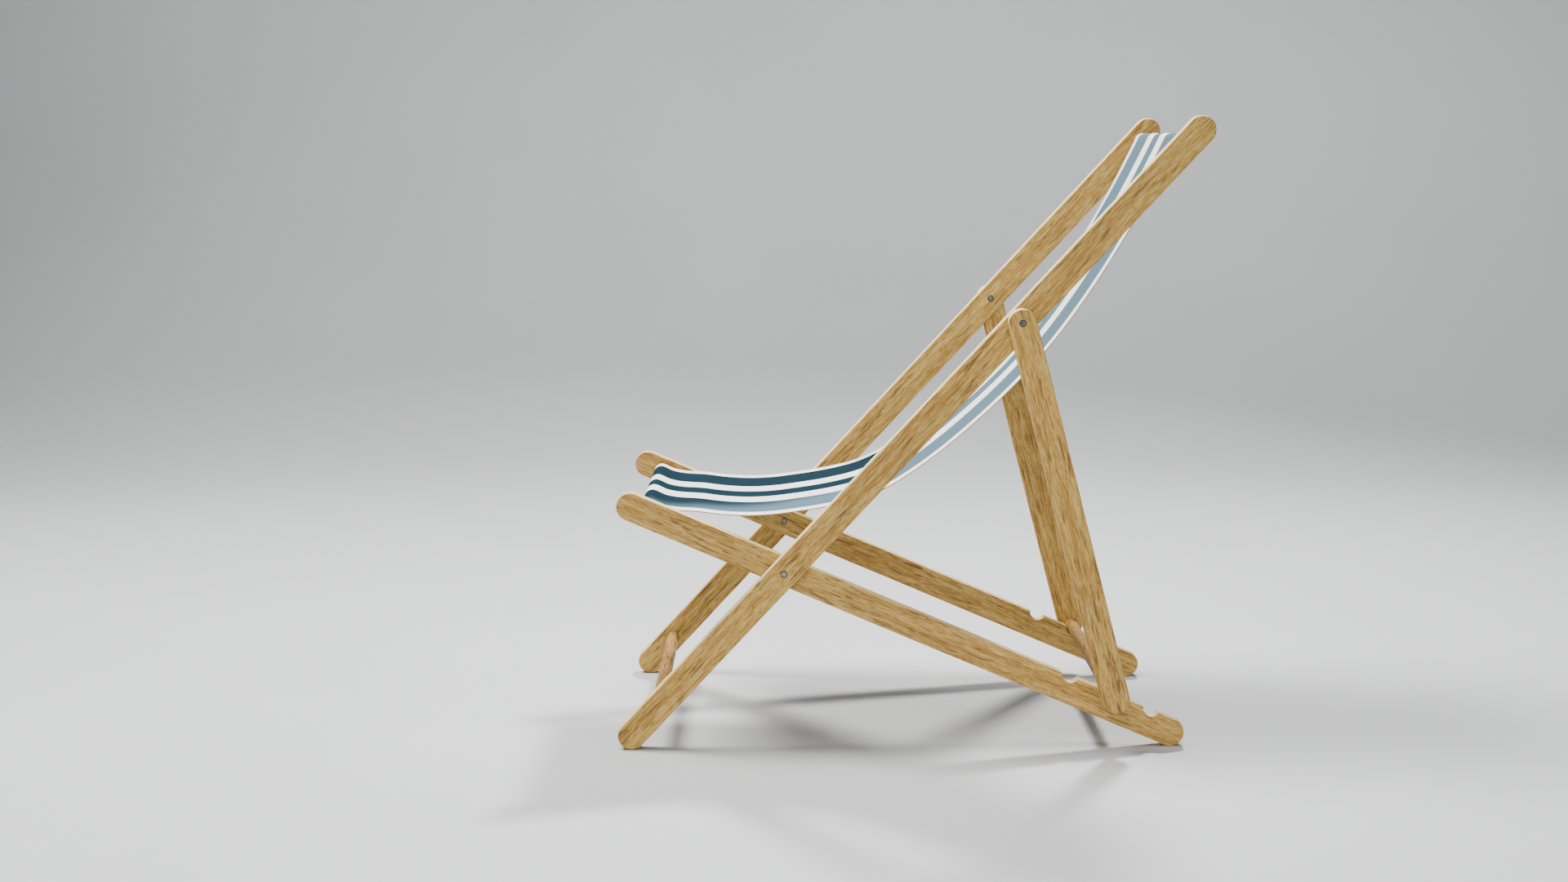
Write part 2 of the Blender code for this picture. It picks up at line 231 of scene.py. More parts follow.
def oak(name, angle, shift, pale=OAK_PALE, tan=OAK_TAN, brown=OAK_BROWN, highlight_strength=PAINTED_HIGHLIGHT_STRENGTH):
    """Oiled oak whose grain runs at this angle up from +Y; shift takes each board from another tree."""
    material, tree, shader = new_nodes(name)
    place = add(tree, "ShaderNodeTexCoord", -1100, 0)
    turn = add(tree, "ShaderNodeMapping", -900, 0, vector_type="POINT")
    turn.inputs["Rotation"].default_value = (-angle, 0.0, 0.0)
    turn.inputs["Location"].default_value = shift
    grain = add(tree, "ShaderNodeGroup", -600, 0, node_tree=oak_grain)
    grain.inputs["Pale"].default_value = pale
    grain.inputs["Tan"].default_value = tan
    grain.inputs["Brown"].default_value = brown
    grain.inputs["Dark"].default_value = OAK_DARK
    grain.inputs["Painted highlight"].default_value = highlight_strength
    bump = add(tree, "ShaderNodeBump", -250, -300)
    bump.inputs["Strength"].default_value = 0.25
    bump.inputs["Distance"].default_value = GRAIN_RELIEF
    tree.links.new(place.outputs["Object"], turn.inputs["Vector"])
    tree.links.new(turn.outputs["Vector"], grain.inputs["Vector"])
    tree.links.new(grain.outputs["Color"], shader.inputs["Base Color"])
    tree.links.new(grain.outputs["Roughness"], shader.inputs["Roughness"])
    tree.links.new(grain.outputs["Height"], bump.inputs["Height"])
    tree.links.new(bump.outputs["Normal"], shader.inputs["Normal"])
    shader.inputs["Specular IOR Level"].default_value = OAK_SHEEN
    return material


def finish_piece(name, material, body, slot, *replaced):
    """Names the active object, settles its place in its mesh, and fixes it to its body."""
    piece = bpy.context.object
    piece.name = name
    piece.data.name = name
    bpy.ops.object.transform_apply(location=True, rotation=True, scale=True)
    piece.data.materials.clear()
    piece.data.materials.append(material)
    bpy.ops.object.shade_smooth_by_angle(angle=SMOOTH_BELOW)
    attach(piece, body)
    if replaced:
        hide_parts(*replaced)
    return piece


def cut_away(piece, radius, centre, depth, sides=64):
    """Bores a round hole across the chair, from a cylinder that is taken away."""
    start_afresh()
    bpy.ops.mesh.primitive_cylinder_add(
        vertices=sides, radius=radius, depth=depth, location=centre, rotation=(0, math.pi / 2, 0)
    )
    cutter = bpy.context.object
    bpy.context.view_layer.objects.active = piece
    cut = piece.modifiers.new("bore", "BOOLEAN")
    cut.operation = "DIFFERENCE"
    cut.object = cutter
    bpy.ops.object.modifier_apply(modifier=cut.name)
    bpy.data.objects.remove(cutter)


def rim_edges(mesh, x):
    """Edges of the outline at this X: each lies flat there and has one face that doesn't."""
    for edge in mesh.edges:
        flat = all(abs(vertex.co.x - x) < 1e-6 for vertex in edge.verts)
        turns = [abs(face.normal.x) < 0.5 for face in edge.link_faces]
        edge.select = flat and any(turns) and not all(turns)


def round_ended_board(low, high, first, last, notches=()):
    """A board between two X, whose round ends are centred on first and last, given as (y, z)."""
    start_afresh()
    bpy.ops.mesh.primitive_circle_add(
        vertices=72, radius=RAIL_HALF, fill_type="NGON",
        location=(low, *first), rotation=(0, math.pi / 2, 0),
    )
    board = bpy.context.object
    bpy.ops.object.transform_apply(location=True, rotation=True, scale=True)
    run = Vector((0.0, last[0] - first[0], last[1] - first[1]))
    bpy.ops.object.mode_set(mode="EDIT")
    mesh = bmesh.from_edit_mesh(board.data)
    middle = Vector((low, *first))
    for vertex in mesh.verts:
        vertex.select = (vertex.co - middle).dot(run) > 1e-7
    mesh.select_flush_mode()
    bmesh.update_edit_mesh(board.data)
    bpy.ops.transform.translate(value=run)
    bpy.ops.mesh.select_all(action="SELECT")
    bpy.ops.mesh.extrude_region_move(TRANSFORM_OT_translate={"value": (high - low, 0, 0)})
    bpy.ops.mesh.select_all(action="SELECT")
    bpy.ops.mesh.normals_make_consistent(inside=False)
    bpy.ops.object.mode_set(mode="OBJECT")
    for centre in notches:
        cut_away(board, NOTCH_RADIUS, ((low + high) / 2, *centre), 2 * (high - low), 48)
    bpy.ops.object.mode_set(mode="EDIT")
    bpy.ops.mesh.select_mode(type="EDGE")
    for x in (low, high):
        mesh = bmesh.from_edit_mesh(board.data)
        rim_edges(mesh, x)
        bmesh.update_edit_mesh(board.data)
        bpy.ops.mesh.bevel(offset=EDGE_ROUNDING, segments=5, profile=0.5, clamp_overlap=True)
    bpy.ops.object.mode_set(mode="OBJECT")
    return board


def ends_of(node, rising):
    """The middles of a rail's round ends, lower Y first, from its box; rising if the far end is higher."""
    low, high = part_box(node)
    first = (low[1] + RAIL_HALF, (low if rising else high)[2] + (RAIL_HALF if rising else -RAIL_HALF))
    last = (high[1] - RAIL_HALF, (high if rising else low)[2] - (RAIL_HALF if rising else -RAIL_HALF))
    return low[0], high[0], first, last


low, high, front_end, rear_end = ends_of("seat_rail_left", False)
SEAT_ANGLE = math.atan2(rear_end[1] - front_end[1], rear_end[0] - front_end[0])
along = Vector((math.cos(SEAT_ANGLE), math.sin(SEAT_ANGLE)))
across = Vector((-math.sin(SEAT_ANGLE), math.cos(SEAT_ANGLE)))
pivot = Vector(MAIN_PIVOT[1:])
notches = [
    pivot + along * (NOTCH_MIDDLE + step * NOTCH_PITCH) + across * (RAIL_HALF + NOTCH_RADIUS - NOTCH_SINK)
    for step in (-1, 0, 1)
]
for word, shift in (("left", (0.0, 0.31, 0.04)), ("right", (0.5, 1.72, 0.21))):
    node = "seat_rail_" + word
    low, high, front_end, rear_end = ends_of(node, False)
    board = round_ended_board(low, high, front_end, rear_end, notches)
    inner = min((low, high), key=abs)
    cut_away(board, RECESS_RADIUS, (inner, *pivot), 2 * RECESS_DEPTH)
    material = oak("oak, seat rail " + word, SEAT_ANGLE, shift, *SEAT_RAIL_TONES, highlight_strength=SEAT_PAINTED_HIGHLIGHT_STRENGTH)
    finish_piece("seat_board_" + word, material, "seat_frame", "rail_wood", node)

# ---------------------------------------------------------------------------------------
# Back rails. The two longest boards, of the same section, outside the seat rails. Each is
# recessed where a pin ends flush; the bores are hidden by their pins, so none is cut here.
low, high, foot_end, top_end = ends_of("back_rail_left", True)
BACK_ANGLE = math.atan2(top_end[1] - foot_end[1], top_end[0] - foot_end[0])
strut_place = Vector(STRUT_PIVOT[1:])
for word, shift in (("left", (0.2, 2.43, 0.9)), ("right", (0.7, 3.21, 0.33))):
    node = "back_rail_" + word
    low, high, foot_end, top_end = ends_of(node, True)
    board = round_ended_board(low, high, foot_end, top_end)
    inner, outer = sorted((low, high), key=abs)
    cut_away(board, RECESS_RADIUS, (outer, *pivot), 2 * RECESS_DEPTH)
    cut_away(board, RECESS_RADIUS, (inner, *strut_place), 2 * RECESS_DEPTH)
    material = oak("oak, back rail " + word, BACK_ANGLE, shift)
    finish_piece("back_board_" + word, material, "back_frame", "rail_wood", node)

# ---------------------------------------------------------------------------------------
# Struts. Two boards outside the back rails that prop the back up, recessed for the strut
# pin at the top. The prop bar is glued into a blind socket at the bottom.
low, high, head_end, toe_end = ends_of("strut_left", False)
STRUT_ANGLE = math.atan2(toe_end[1] - head_end[1], toe_end[0] - head_end[0])
for word, shift in (("left", (0.9, 0.67, 0.55)), ("right", (1.3, 1.11, 0.77))):
    node = "strut_" + word
    low, high, head_end, toe_end = ends_of(node, False)
    board = round_ended_board(low, high, head_end, toe_end)
    outer = max((low, high), key=abs)
    cut_away(board, RECESS_RADIUS, (outer, *strut_place), 2 * RECESS_DEPTH)
    material = oak("oak, strut " + word, STRUT_ANGLE, shift)
    finish_piece("strut_board_" + word, material, "prop_frame", "rail_wood", node)

# ---------------------------------------------------------------------------------------
# Cross bars. Four turned beech bars, glued into blind sockets in the rails. The front and
# top bars carry the canvas, the foot bar ties the feet, the prop bar drops in the notches.
# Painted shade: the bar tones are beech darkened well below the boards', as the foot bar lies in shade.
BAR_PALE = (0.42, 0.260, 0.090, 1)
BAR_TAN = (0.34, 0.195, 0.058, 1)
BAR_BROWN = (0.25, 0.130, 0.034, 1)
ROUND_OVER = 0.0012
BAR_SHEEN = 0.08


def turned_bar(node, body, shift):
    low, high = (Vector(corner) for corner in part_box(node))
    start_afresh()
    bpy.ops.mesh.primitive_cylinder_add(
        vertices=56, radius=(high.z - low.z) / 2, depth=high.x - low.x,
        location=(low + high) / 2, rotation=(0, math.pi / 2, 0),
    )
    bpy.ops.object.transform_apply(location=True, rotation=True, scale=True)
    bar = bpy.context.object
    bpy.ops.object.mode_set(mode="EDIT")
    bpy.ops.mesh.select_mode(type="EDGE")
    mesh = bmesh.from_edit_mesh(bar.data)
    for edge in mesh.edges:
        edge.select = abs(edge.verts[0].co.x - edge.verts[1].co.x) < 1e-6
    bmesh.update_edit_mesh(bar.data)
    bpy.ops.mesh.bevel(offset=ROUND_OVER, segments=3, profile=0.5)
    bpy.ops.object.mode_set(mode="OBJECT")
    material = oak("beech, " + node.replace("_", " "), 0.0, shift, BAR_PALE, BAR_TAN, BAR_BROWN, 0.0)
    # The bars lie across the chair, so their grain runs along X.
    turn = next(item for item in material.node_tree.nodes if item.type == "MAPPING")
    turn.inputs["Rotation"].default_value = (0.0, 0.0, math.pi / 2)
    material.node_tree.nodes["Principled BSDF"].inputs["Specular IOR Level"].default_value = BAR_SHEEN
    finish_piece(node.replace("_bar", "_rod"), material, body, "bar_wood", node)


turned_bar("front_bar", "seat_frame", (0.11, 0.9, 0.3))
turned_bar("top_bar", "back_frame", (0.27, 1.9, 0.5))
turned_bar("foot_bar", "back_frame", (0.43, 2.9, 0.7))
turned_bar("prop_bar", "prop_frame", (0.61, 3.9, 0.1))

# ---------------------------------------------------------------------------------------
# Pivot pins. Steel rivets let in flush with the boards: a turned head outside, and inside
# the shank peened over a washer. The recessed rim round each worn bright face is painted dark as painted
# shade.
PIN_RADIUS = 0.004
HEAD_RADIUS = 0.0056
HEAD_THICKNESS = 0.0018
BRIGHT_RADIUS = 0.0045
RIM_DROP = 0.0010
PEENED_RADIUS = 0.0045
PEENED_PROUD = 0.0002
DIMPLE_RADIUS = 0.0019
DIMPLE_DEPTH = 0.0007
DIMPLE_SLOPE = 0.0006
CROWN_EASE = 0.0002
CROWN_TAPER = 0.93
PEENED_TAPER = 0.8
FACE_GAP = 0.00002
BRIGHT_STEEL = ((0.29, 0.285, 0.275, 1), (0.17, 0.165, 0.16, 1))
GREY_STEEL = ((0.15, 0.145, 0.14, 1), (0.06, 0.058, 0.055, 1))
# The dark steel serves the burrs and spacers, and also paints shade into each pin head's recessed rim.
DARK_STEEL = ((0.045, 0.042, 0.040, 1), (0.018, 0.017, 0.016, 1))


def steel(name, tones, metallic):
    """Turned and hammered steel, clouded by oxide, with fine marks in its polish."""
    material, tree, shader = new_nodes(name)
    place = add(tree, "ShaderNodeTexCoord", -1000, 0)
    cloud = add(tree, "ShaderNodeTexNoise", -700, 200)
    cloud.inputs["Scale"].default_value = 420.0
    cloud.inputs["Detail"].default_value = 5.0
    marks = add(tree, "ShaderNodeTexNoise", -700, -100)
    marks.inputs["Scale"].default_value = 1800.0
    marks.inputs["Detail"].default_value = 3.0
    for noise in (cloud, marks):
        tree.links.new(place.outputs["Object"], noise.inputs["Vector"])
    oxide = rescale(tree, -450, 200, cloud.outputs["Fac"], 0.42, 0.66)
    tree.links.new(blend_colours(tree, -250, 200, oxide, *tones), shader.inputs["Base Color"])
    rough = rescale(tree, -250, -50, cloud.outputs["Fac"], 0.3, 0.7, 0.38, 0.62)
    tree.links.new(rough, shader.inputs["Roughness"])
    bump = add(tree, "ShaderNodeBump", -250, -300)
    bump.inputs["Strength"].default_value = 0.15
    bump.inputs["Distance"].default_value = 0.0003
    tree.links.new(marks.outputs["Fac"], bump.inputs["Height"])
    tree.links.new(bump.outputs["Normal"], shader.inputs["Normal"])
    shader.inputs["Metallic"].default_value = metallic
    return material


bright_steel = steel("worn bright steel", BRIGHT_STEEL, 0.45)
grey_steel = steel("grey steel", GREY_STEEL, 0.55)
oxide_and_painted_shade = steel("oxidised steel, painted shade in pin rims", DARK_STEEL, 0.3)


def pick_faces(piece, keep):
    """Selects the faces whose middle and normal pass keep, in edit mode."""
    mesh = bmesh.from_edit_mesh(piece.data)
    for face in mesh.faces:
        face.select = keep(face.calc_center_median(), face.normal)
    mesh.select_flush_mode()
    bmesh.update_edit_mesh(piece.data)


def pivot_pin(node, body, finish, dimpled):
    """A disc for the head, its bright face drawn out of a lower rim, then the shank and its peened end."""
    low, high = (Vector(corner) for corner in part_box(node))
    side = 1 if low.x > 0 else -1
    outer, inner = (high.x, low.x) if side > 0 else (low.x, high.x)
    axis = Vector((0, (low.y + high.y) / 2, (low.z + high.z) / 2))
    start_afresh()
    bpy.ops.mesh.primitive_cylinder_add(
        vertices=48, radius=HEAD_RADIUS, depth=HEAD_THICKNESS - RIM_DROP, rotation=(0, math.pi / 2, 0),
        location=(outer - side * (HEAD_THICKNESS + RIM_DROP) / 2, axis.y, axis.z),
    )
    bpy.ops.object.transform_apply(location=True, rotation=True, scale=True)
    pin = bpy.context.object
    bpy.ops.object.mode_set(mode="EDIT")
    bpy.ops.mesh.select_mode(type="FACE")
    pick_faces(pin, lambda middle, normal: normal.x * side > 0.9)
    bpy.ops.mesh.inset(thickness=HEAD_RADIUS - BRIGHT_RADIUS)
    bpy.ops.mesh.extrude_region_move(TRANSFORM_OT_translate={"value": (side * (RIM_DROP - CROWN_EASE), 0, 0)})
    bpy.ops.mesh.extrude_region_move(TRANSFORM_OT_translate={"value": (side * CROWN_EASE, 0, 0)})
    bpy.ops.transform.resize(value=(1, CROWN_TAPER, CROWN_TAPER), center_override=(outer, axis.y, axis.z))
    if dimpled:
        bpy.ops.mesh.inset(thickness=BRIGHT_RADIUS * CROWN_TAPER - DIMPLE_RADIUS - DIMPLE_SLOPE)
        bpy.ops.mesh.inset(thickness=DIMPLE_SLOPE)
        bpy.ops.transform.translate(value=(-side * DIMPLE_DEPTH, 0, 0))
    pick_faces(pin, lambda middle, normal: normal.x * side < -0.9)
    bpy.ops.mesh.inset(thickness=HEAD_RADIUS - PIN_RADIUS)
    shank = abs(outer - inner) - HEAD_THICKNESS
    bpy.ops.mesh.extrude_region_move(TRANSFORM_OT_translate={"value": (-side * (shank + FACE_GAP), 0, 0)})
    bpy.ops.mesh.extrude_region_move(TRANSFORM_OT_translate={"value": (-side * 2 * FACE_GAP, 0, 0)})
    grow = PEENED_RADIUS / PIN_RADIUS
    bpy.ops.transform.resize(value=(1, grow, grow), center_override=(inner, axis.y, axis.z))
    bpy.ops.mesh.extrude_region_move(TRANSFORM_OT_translate={"value": (-side * PEENED_PROUD, 0, 0)})
    bpy.ops.transform.resize(value=(1, PEENED_TAPER, PEENED_TAPER), center_override=(inner, axis.y, axis.z))
    bpy.ops.object.mode_set(mode="OBJECT")
    pin = finish_piece(node.replace("_pin_", "_rivet_"), finish, body, "pin_steel", node)
    # The head's rim and side take the dark steel: painted shade in the recess.
    pin.data.materials.append(oxide_and_painted_shade)
    for face in pin.data.polygons:
        from_axis = math.hypot(face.center.y - axis.y, face.center.z - axis.z)
        in_head = abs(face.center.x - outer) < HEAD_THICKNESS + CROWN_EASE
        face.material_index = 1 if in_head and from_axis > BRIGHT_RADIUS - 0.0001 else 0


for word in ("left", "right"):
    pivot_pin("main_pin_" + word, "seat_frame", bright_steel, False)
    pivot_pin("strut_pin_" + word, "back_frame", grey_steel, True)
    for kind in ("main_burr_", "main_spacer_", "strut_burr_", "strut_spacer_"):
        node = frame["nodes"][kind + word]
        node.data.materials.clear()
        node.data.materials.append(oxide_and_painted_shade)

# ---------------------------------------------------------------------------------------
# Sling. One length of striped cotton canvas. Each end is turned back round its bar and
# sewn down as a pocket, both long edges are hemmed, and the rest hangs in a slack curve.
SLING_WIDTH = 0.42
CANVAS = 0.0008
HEM = 0.014
SAG = 0.4585
BAR_WRAP = 0.0126
SLACK_WRAP = 0.0138
SEAM_REACH = 0.023
SEAM_LAP = 0.012
LAYER_DROP = 0.0034
SEAT_LIFT = 0.008
HINGE_DIP = 0.0030
BACK_FULLNESS = 0.0035
TOP_STEEPNESS = 0.44
HEM_STEP = 0.0008
EDGE_TURN = 0.0006
CENTRE_STRIPE = 0.068
SIDE_STRIPE = (0.198, 0.432)
STRIPE_EDGE = 0.0004
STRIPE_WANDER = 0.0004
TWILL_PITCH = 0.0011
# Painted sheen: the next two numbers place the paler blue below them on the back and along the left of the
# seat, standing in for a glossy reflection.
SHEEN_SIDEWAYS = 2.6
SHEEN_STARTS = 0.83
NAVY = (0.0105, 0.0255, 0.035, 1)
PAINTED_SHEEN_BLUE = (0.090, 0.143, 0.177, 1)
CHALK = (0.80, 0.805, 0.765, 1)
# The sling's edge faces are coloured tan.
TAN_EDGE = (0.46, 0.36, 0.26, 1)


def bar_middle(node):
    low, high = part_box(node)
    return Vector(((low[1] + high[1]) / 2, (low[2] + high[2]) / 2))


def hung_line(front, top):
    """The catenary that touches both bars' wraps from above: its lowest point and its two ends."""
    ends = [front, top]
    for _ in range(20):
        (y1, z1), (y2, z2) = ends
        rise = (z2 - z1) / (2 * SAG * math.sinh((y2 - y1) / (2 * SAG)))
        low_y = (y1 + y2) / 2 - SAG * math.asinh(rise)
        low_z = z1 - SAG * (math.cosh((y1 - low_y) / SAG) - 1)
        for i, (y, z) in enumerate((front, top)):
            slope = math.atan(math.sinh((ends[i][0] - low_y) / SAG))
            ends[i] = (y - BAR_WRAP * math.sin(slope), z + BAR_WRAP * math.cos(slope))
    return low_y, low_z, ends


front_middle, top_middle = bar_middle("front_bar"), bar_middle("top_bar")
low_y, low_z, (front_touch, top_touch) = hung_line(front_middle, top_middle)
front_seam = front_middle.x + SEAM_REACH
top_seam = top_touch[0] - TOP_STEEPNESS * SEAM_REACH


def ease(value, start, end):
    share = min(max((value - start) / (end - start), 0.0), 1.0)
    return share * share * (3 - 2 * share)


def hung_at(y):
    """Height of the canvas: the catenary, with the seat pulled flatter and the small of the back fuller."""
    lift = SEAT_LIFT * ease(y, front_seam, front_seam + 0.07) * (1 - ease(y, -0.20, -0.06))
    lift -= HINGE_DIP * math.exp(-(((y + 0.045) / 0.05) ** 2))
    lift += BACK_FULLNESS * math.exp(-(((y - 0.11) / 0.08) ** 2))
    bend = (y - low_y) / SAG
    return Vector((y, low_z + SAG * (math.cosh(bend) - 1) + lift * math.cosh(bend)))


def along_hung(y):
    return (hung_at(y + 0.0005) - hung_at(y - 0.0005)).normalized()


def beneath(y):
    """The turned-back layer's place under the hung one."""
    tangent = along_hung(y)
    return hung_at(y) - LAYER_DROP * Vector((-tangent.y, tangent.x))


def swept(start, start_way, end, end_way, reach, steps=10):
    """A smooth curve that leaves start along start_way and comes into end along end_way."""
    a, b = start + start_way * reach, end - end_way * reach
    points = []
    for i in range(1, steps):
        t = i / steps
        points.append(start * (1 - t) ** 3 + a * 3 * t * (1 - t) ** 2 + b * 3 * t * t * (1 - t) + end * t**3)
    return points


def wrapped(middle, radius, start, end, steps):
    """Points round a bar, clockwise seen with the front at the left, from one angle to another."""
    angles = [math.radians(start + (end - start) * i / steps) for i in range(steps + 1)]
    return [middle + radius * Vector((math.cos(angle), math.sin(angle))) for angle in angles]


def clockwise(angle):
    return Vector((math.sin(math.radians(angle)), -math.cos(math.radians(angle))))


front_wrap = wrapped(front_middle + Vector((0.0010, 0.0004)), SLACK_WRAP, 292, 74, 34)
top_start = math.degrees(math.atan2(top_touch[1] - top_middle.y, top_touch[0] - top_middle.x))
top_wrap = wrapped(top_middle, BAR_WRAP, top_start, -58, 34)
front_lap = [beneath(front_seam + SEAM_LAP * (1 - i / 5)) for i in range(6)]
top_lap = [beneath(top_seam - TOP_STEEPNESS * SEAM_LAP * i / 5) for i in range(6)]
hung = [hung_at(front_seam + (top_touch[0] - front_seam) * i / 150) for i in range(150)]
path = (
    front_lap
    + swept(front_lap[-1], -along_hung(front_seam), front_wrap[0], clockwise(292), 0.005)
    + front_wrap
    + swept(front_wrap[-1], clockwise(74), hung[0], along_hung(front_seam), 0.0055)
    + hung
    + top_wrap
    + swept(top_wrap[-1], clockwise(-58), top_lap[0], -along_hung(top_seam), 0.007)
    + top_lap
)
reach = [0.0]
for a, b in zip(path, path[1:]):
    reach.append(reach[-1] + (b - a).length)
SLING_LENGTH = reach[-1]
SEAT_START = reach[path.index(hung[0])]

half, hem_line = SLING_WIDTH / 2, SLING_WIDTH / 2 - HEM
step_line = hem_line - HEM_STEP
columns = [-half, -half + EDGE_TURN, -half + HEM / 2, -hem_line, -step_line]
columns += [-step_line * (1 - 2 * i / 34) for i in range(1, 34)]
columns += [step_line, hem_line, half - HEM / 2, half - EDGE_TURN, half]
count = len(columns)
squares = []
for row in range(len(path) - 1):
    for corner in range(row * count, (row + 1) * count - 1):
        squares.append((corner, corner + 1, corner + count + 1, corner + count))
sheet = bpy.data.meshes.new("sling")
sheet.from_pydata([(x, point.x, point.y) for point in path for x in columns], [], squares)
flat = sheet.uv_layers.new(name="UVMap")
for loop in sheet.loops:
    row, i = divmod(loop.vertex_index, count)
    flat.data[loop.index].uv = ((columns[i] + half) / SLING_WIDTH, reach[row] / SLING_LENGTH)
sling = bpy.data.objects.new("sling", sheet)
bpy.context.scene.collection.objects.link(sling)
start_afresh()
sling.select_set(True)
bpy.context.view_layer.objects.active = sling
turned = sling.vertex_groups.new(name="hemmed")
for vertex in sheet.vertices:
    turned.add([vertex.index], 1.0 if abs(vertex.co.x) > hem_line - 0.0001 else 0.5, "REPLACE")


def canvas():
    """Yarn-dyed stripes, the blue lightened on the back by a painted sheen, in a fine twill with slubs."""
    material, tree, shader = new_nodes("striped canvas")
    uv = add(tree, "ShaderNodeUVMap", -2200, 0, uv_map="UVMap")
    size = add(tree, "ShaderNodeVectorMath", -2000, 0, operation="MULTIPLY")
    size.inputs[1].default_value = (SLING_WIDTH, SLING_LENGTH, 1.0)
    tree.links.new(uv.outputs["UV"], size.inputs[0])
    parts = add(tree, "ShaderNodeSeparateXYZ", -1800, 0)
    tree.links.new(size.outputs[0], parts.inputs[0])
    x, y = parts.outputs["X"], parts.outputs["Y"]
    ragged = add(tree, "ShaderNodeTexNoise", -1600, 300)
    ragged.inputs["Scale"].default_value = 900.0
    tree.links.new(size.outputs[0], ragged.inputs["Vector"])
    uneven = calculate(tree, "SUBTRACT", -1500, 300, ragged.outputs["Fac"], 0.5)
    wander = calculate(tree, "MULTIPLY", -1400, 300, uneven, STRIPE_WANDER)
    centred = calculate(tree, "SUBTRACT", -1600, 100, x, SLING_WIDTH / 2)
    offset = calculate(tree, "ADD", -1250, 300, centred, wander)
    from_middle = calculate(tree, "ABSOLUTE", -1100, 300, offset, 0.0)

    def band(low, high, y_place):
        """A pair of stripes between these shares of the width, out from the middle."""
        low, high = low * SLING_WIDTH, high * SLING_WIDTH
        up = rescale(tree, -900, y_place, from_middle, low - STRIPE_EDGE, low + STRIPE_EDGE)
        down = rescale(
            tree, -900, y_place - 250, from_middle, high - STRIPE_EDGE, high + STRIPE_EDGE, 1.0, 0.0
        )
        return calculate(tree, "MULTIPLY", -700, y_place, up, down)

    centre, sides = band(-0.1, CENTRE_STRIPE, 500), band(*SIDE_STRIPE, 0)
    blue = calculate(tree, "ADD", -500, 300, centre, sides, clamp=True)
    # Painted sheen: the blue is mixed toward a paler grey-blue on the back and along the left of the seat,
    # standing in for a glossy reflection.
    from_left = calculate(tree, "SUBTRACT", -1050, -500, x, SHEEN_STARTS * SLING_WIDTH)
    past_bar = calculate(tree, "SUBTRACT", -1050, -650, y, SEAT_START)
    leftward = calculate(tree, "MULTIPLY", -900, -500, from_left, SHEEN_SIDEWAYS)
    sheen_reach = calculate(tree, "ADD", -700, -500, past_bar, leftward)
    painted_sheen = rescale(tree, -500, -500, sheen_reach, -0.03, 0.22)
    blue_and_sheen = blend_colours(tree, -250, -300, painted_sheen, NAVY, PAINTED_SHEEN_BLUE)
    diagonal = calculate(tree, "ADD", -1200, -900, x, y)
    twill_lines = calculate(tree, "MULTIPLY", -1050, -900, diagonal, 2 * math.pi / TWILL_PITCH)
    twill = calculate(tree, "SINE", -900, -900, twill_lines, 0.0)
    warp = add(tree, "ShaderNodeVectorMath", -1100, -1350, operation="MULTIPLY")
    warp.inputs[1].default_value = (1100.0, 45.0, 1.0)
    weft = add(tree, "ShaderNodeVectorMath", -1100, -1600, operation="MULTIPLY")
    weft.inputs[1].default_value = (60.0, 1100.0, 1.0)
    threads = []
    for stretch in (warp, weft):
        slub = add(tree, "ShaderNodeTexNoise", -900, stretch.location.y)
        slub.inputs["Scale"].default_value = 1.0
        slub.inputs["Detail"].default_value = 3.0
        tree.links.new(size.outputs[0], stretch.inputs[0])
        tree.links.new(stretch.outputs[0], slub.inputs["Vector"])
        threads.append(slub.outputs["Fac"])
    cloth = calculate(tree, "ADD", -700, -1400, *threads)
    cloth = calculate(tree, "ADD", -550, -1300, cloth, calculate(tree, "MULTIPLY", -700, -950, twill, 0.22))
    yarn = blend_colours(tree, 0, 0, blue, CHALK, blue_and_sheen)
    shade = rescale(tree, -300, -900, cloth, 0.55, 1.45, 0.90, 1.06)
    tint = add(tree, "ShaderNodeCombineColor", -50, -900)
    for socket in tint.inputs:
        tree.links.new(shade, socket)
    woven = blend_colours(tree, 200, 0, 1.0, yarn, tint.outputs[0], "MULTIPLY")
    tree.links.new(woven, shader.inputs["Base Color"])
    bump = add(tree, "ShaderNodeBump", 100, -500)
    bump.inputs["Strength"].default_value = 0.3
    bump.inputs["Distance"].default_value = 0.0002
    tree.links.new(cloth, bump.inputs["Height"])
    tree.links.new(bump.outputs["Normal"], shader.inputs["Normal"])
    tree.links.new(rescale(tree, 0, -1200, cloth, 0.6, 1.4, 0.95, 0.80), shader.inputs["Roughness"])
    shader.inputs["Specular IOR Level"].default_value = 0.0
    shader.location = (500, 0)
    return material


def thread(name, colour):
    """Twisted cotton thread or the sling's tan edge faces: one colour, flecked and matt."""
    material, tree, shader = new_nodes(name)
    place = add(tree, "ShaderNodeTexCoord", -900, 0)
    twist = add(tree, "ShaderNodeTexNoise", -700, 0)
    twist.inputs["Scale"].default_value = 1800.0
    tree.links.new(place.outputs["Object"], twist.inputs["Vector"])
    darker = tuple(0.7 * value for value in colour[:3]) + (1,)
    fleck = rescale(tree, -500, 0, twist.outputs["Fac"], 0.35, 0.65)
    tree.links.new(blend_colours(tree, -300, 0, fleck, darker, colour), shader.inputs["Base Color"])
    bump = add(tree, "ShaderNodeBump", -300, -300)
    bump.inputs["Strength"].default_value = 0.3
    bump.inputs["Distance"].default_value = 0.0002
    tree.links.new(twist.outputs["Fac"], bump.inputs["Height"])
    tree.links.new(bump.outputs["Normal"], shader.inputs["Normal"])
    shader.inputs["Roughness"].default_value = 0.9
    shader.inputs["Specular IOR Level"].default_value = 0.15
    return material


